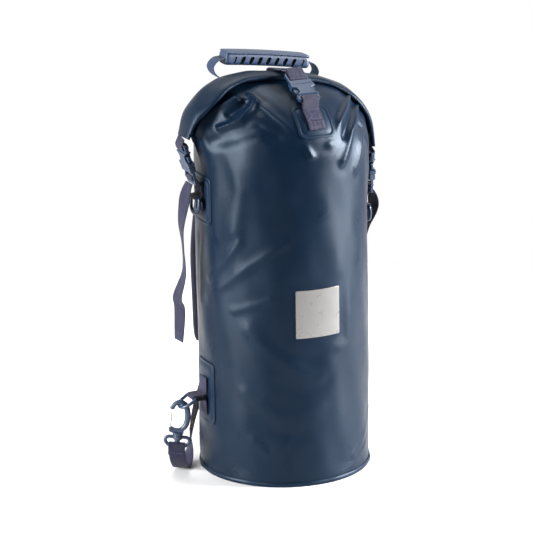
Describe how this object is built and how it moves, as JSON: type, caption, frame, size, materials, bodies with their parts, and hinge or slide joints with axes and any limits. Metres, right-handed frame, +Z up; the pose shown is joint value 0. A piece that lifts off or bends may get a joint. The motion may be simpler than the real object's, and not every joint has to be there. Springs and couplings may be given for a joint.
{
  "type": "dry bag",
  "caption": "Roll-top dry bag of coated fabric with a welded round base, buckled rolled mouth, moulded carry handle, padded shoulder straps and snap hooks",
  "frame": {"origin": "centre of the base's underside", "axes": "+Z up, -Y towards the front with the silver square, X along the rolled mouth with -X on the left seen from the front"},
  "size_m": [0.3696, 0.2978, 0.6264],
  "materials": {
    "coated": "satin coated fabric",
    "weld": "satin coated fabric, welded",
    "webbing": "woven",
    "plastic": "satin moulded",
    "rubber": "satin moulded",
    "label": "satin silver film",
    "wire": "satin",
    "stiffener": "matt",
    "padding": "woven cover over foam"
  },
  "bodies": {
    "bag": {"bag_shell": "coated", "base_panel": "coated", "base_seam": "weld", "rolled_mouth": "coated", "mouth_stiffener_front": "stiffener", "mouth_stiffener_back": "stiffener", "front_patch": "weld", "front_tab": "webbing", "front_buckle_female": "plastic", "front_strap": "webbing", "front_strap_patch": "weld", "handle_anchor_left": "webbing", "handle_anchor_right": "webbing", "front_label": "label", "back_seam_tape": "weld", "shoulder_anchor": "weld", "left_shoulder_pad": "padding", "left_strap_adjuster": "plastic", "left_strap_webbing": "webbing", "left_strap_swivel_eye": "plastic", "left_lower_patch": "weld", "left_lower_ring_tab": "webbing", "left_side_patch": "weld", "left_side_ring_tab": "webbing", "left_side_end_loop": "webbing", "left_side_buckle_female": "plastic", "left_side_strap": "webbing", "right_shoulder_pad": "padding", "right_strap_adjuster": "plastic", "right_strap_webbing": "webbing", "right_strap_swivel_eye": "plastic", "right_lower_patch": "weld", "right_lower_ring_tab": "webbing", "right_side_patch": "weld", "right_side_ring_tab": "webbing", "right_side_end_loop": "webbing", "right_side_buckle_female": "plastic", "right_side_strap": "webbing"},
    "handle": {"handle_grip": "rubber", "handle_webbing": "webbing"},
    "front_male": {"front_buckle_male": "plastic"},
    "front_prong_a": {"front_prong_a": "plastic"},
    "front_prong_b": {"front_prong_b": "plastic"},
    "left_side_male": {"left_side_buckle_male": "plastic"},
    "left_side_prong_a": {"left_side_prong_a": "plastic"},
    "left_side_prong_b": {"left_side_prong_b": "plastic"},
    "left_tail": {"left_side_tail": "webbing"},
    "left_side_ring": {"left_side_d_ring": "plastic"},
    "right_side_male": {"right_side_buckle_male": "plastic"},
    "right_side_prong_a": {"right_side_prong_a": "plastic"},
    "right_side_prong_b": {"right_side_prong_b": "plastic"},
    "right_tail": {"right_side_tail": "webbing"},
    "right_side_ring": {"right_side_d_ring": "plastic"},
    "left_lower_ring": {"left_lower_d_ring": "plastic"},
    "left_hook": {"left_strap_hook": "plastic"},
    "left_gate": {"left_strap_gate": "wire"},
    "right_lower_ring": {"right_lower_d_ring": "plastic"},
    "right_hook": {"right_strap_hook": "plastic"},
    "right_gate": {"right_strap_gate": "wire"}
  },
  "joints": [
    {"name": "handle_fold", "type": "hinge", "parent": "bag", "child": "handle", "pos_m": [0, 0.05, 0.5755], "axis": [-0.9903, 0, 0.1387], "range_deg": [-8, 52]},
    {"name": "front_release", "type": "slide", "parent": "bag", "child": "front_male", "axis": [0, 0.891, 0.454], "range_m": [0, 0.024], "deforming": ["front_strap"]},
    {"name": "front_squeeze_a", "type": "hinge", "parent": "front_male", "child": "front_prong_a", "pos_m": [0.0172, -0.06228, 0.58811], "axis": [0, 0.454, -0.891], "range_deg": [0, 8], "stiffness_Nm_per_rad": 0.05},
    {"name": "front_squeeze_b", "type": "hinge", "parent": "front_male", "child": "front_prong_b", "pos_m": [-0.0052, -0.06228, 0.58811], "axis": [0, -0.454, 0.891], "range_deg": [0, 8], "stiffness_Nm_per_rad": 0.05},
    {"name": "left_side_release", "type": "slide", "parent": "bag", "child": "left_side_male", "axis": [0.2693, 0, -0.963], "range_m": [0, 0.0162], "deforming": ["left_side_strap"]},
    {"name": "left_side_squeeze_a", "type": "hinge", "parent": "left_side_male", "child": "left_side_prong_a", "pos_m": [-0.14825, 0.0112, 0.4747], "axis": [0.963, 0, 0.2693], "range_deg": [0, 8], "stiffness_Nm_per_rad": 0.05},
    {"name": "left_side_squeeze_b", "type": "hinge", "parent": "left_side_male", "child": "left_side_prong_b", "pos_m": [-0.14825, -0.0112, 0.4747], "axis": [-0.963, 0, -0.2693], "range_deg": [0, 8], "stiffness_Nm_per_rad": 0.05},
    {"name": "left_tail_swing", "type": "hinge", "parent": "left_side_male", "child": "left_tail", "pos_m": [-0.14639, 0, 0.44801], "axis": [0, 1, 0], "range_deg": [0, 40]},
    {"name": "left_side_ring_swing", "type": "hinge", "parent": "bag", "child": "left_side_ring", "pos_m": [-0.137, 0, 0.425], "axis": [0, 1, 0], "range_deg": [0, 17]},
    {"name": "right_side_release", "type": "slide", "parent": "bag", "child": "right_side_male", "axis": [-0.0339, 0, -0.9994], "range_m": [0, 0.0158], "deforming": ["right_side_strap"]},
    {"name": "right_side_squeeze_a", "type": "hinge", "parent": "right_side_male", "child": "right_side_prong_a", "pos_m": [0.1414, -0.0112, 0.43072], "axis": [-0.9994, 0, 0.0339], "range_deg": [0, 8], "stiffness_Nm_per_rad": 0.05},
    {"name": "right_side_squeeze_b", "type": "hinge", "parent": "right_side_male", "child": "right_side_prong_b", "pos_m": [0.1414, 0.0112, 0.43072], "axis": [0.9994, 0, -0.0339], "range_deg": [0, 8], "stiffness_Nm_per_rad": 0.05},
    {"name": "right_tail_swing", "type": "hinge", "parent": "right_side_male", "child": "right_tail", "pos_m": [0.14591, 0, 0.40435], "axis": [0, -1, 0], "range_deg": [0, 40]},
    {"name": "right_side_ring_swing", "type": "hinge", "parent": "bag", "child": "right_side_ring", "pos_m": [0.137, 0, 0.381], "axis": [0, -1, 0], "range_deg": [0, 8]},
    {"name": "left_lower_ring_swing", "type": "hinge", "parent": "bag", "child": "left_lower_ring", "pos_m": [-0.149, 0, 0.12], "axis": [0, -1, 0], "range_deg": [-2, 8]},
    {"name": "left_hook_swivel", "type": "hinge", "parent": "bag", "child": "left_hook", "pos_m": [-0.17532, 0, 0.04758], "axis": [0.0995, 0, 0.995], "range_deg": [-12, 20]},
    {"name": "left_gate_open", "type": "hinge", "parent": "left_hook", "child": "left_gate", "pos_m": [-0.18263, 0.00457, 0.07725], "axis": [0.4064, 0.9128, -0.0406], "range_deg": [0, 25], "stiffness_Nm_per_rad": 0.02},
    {"name": "right_lower_ring_swing", "type": "hinge", "parent": "bag", "child": "right_lower_ring", "pos_m": [0.13392, 0.06532, 0.12], "axis": [-0.4384, 0.8988, 0], "range_deg": [-2, 8]},
    {"name": "right_hook_swivel", "type": "hinge", "parent": "bag", "child": "right_hook", "pos_m": [0.15758, 0.07686, 0.04758], "axis": [-0.0894, -0.0436, 0.995], "range_deg": [-12, 20]},
    {"name": "right_gate_open", "type": "hinge", "parent": "right_hook", "child": "right_gate", "pos_m": [0.16615, 0.07595, 0.07725], "axis": [0.0349, -0.9986, -0.0406], "range_deg": [0, 25], "stiffness_Nm_per_rad": 0.02}
  ],
  "couplings": [
    {"joint": "front_squeeze_b", "follows": "front_squeeze_a", "ratio": 1},
    {"joint": "left_side_squeeze_b", "follows": "left_side_squeeze_a", "ratio": 1},
    {"joint": "right_side_squeeze_b", "follows": "right_side_squeeze_a", "ratio": 1}
  ]
}
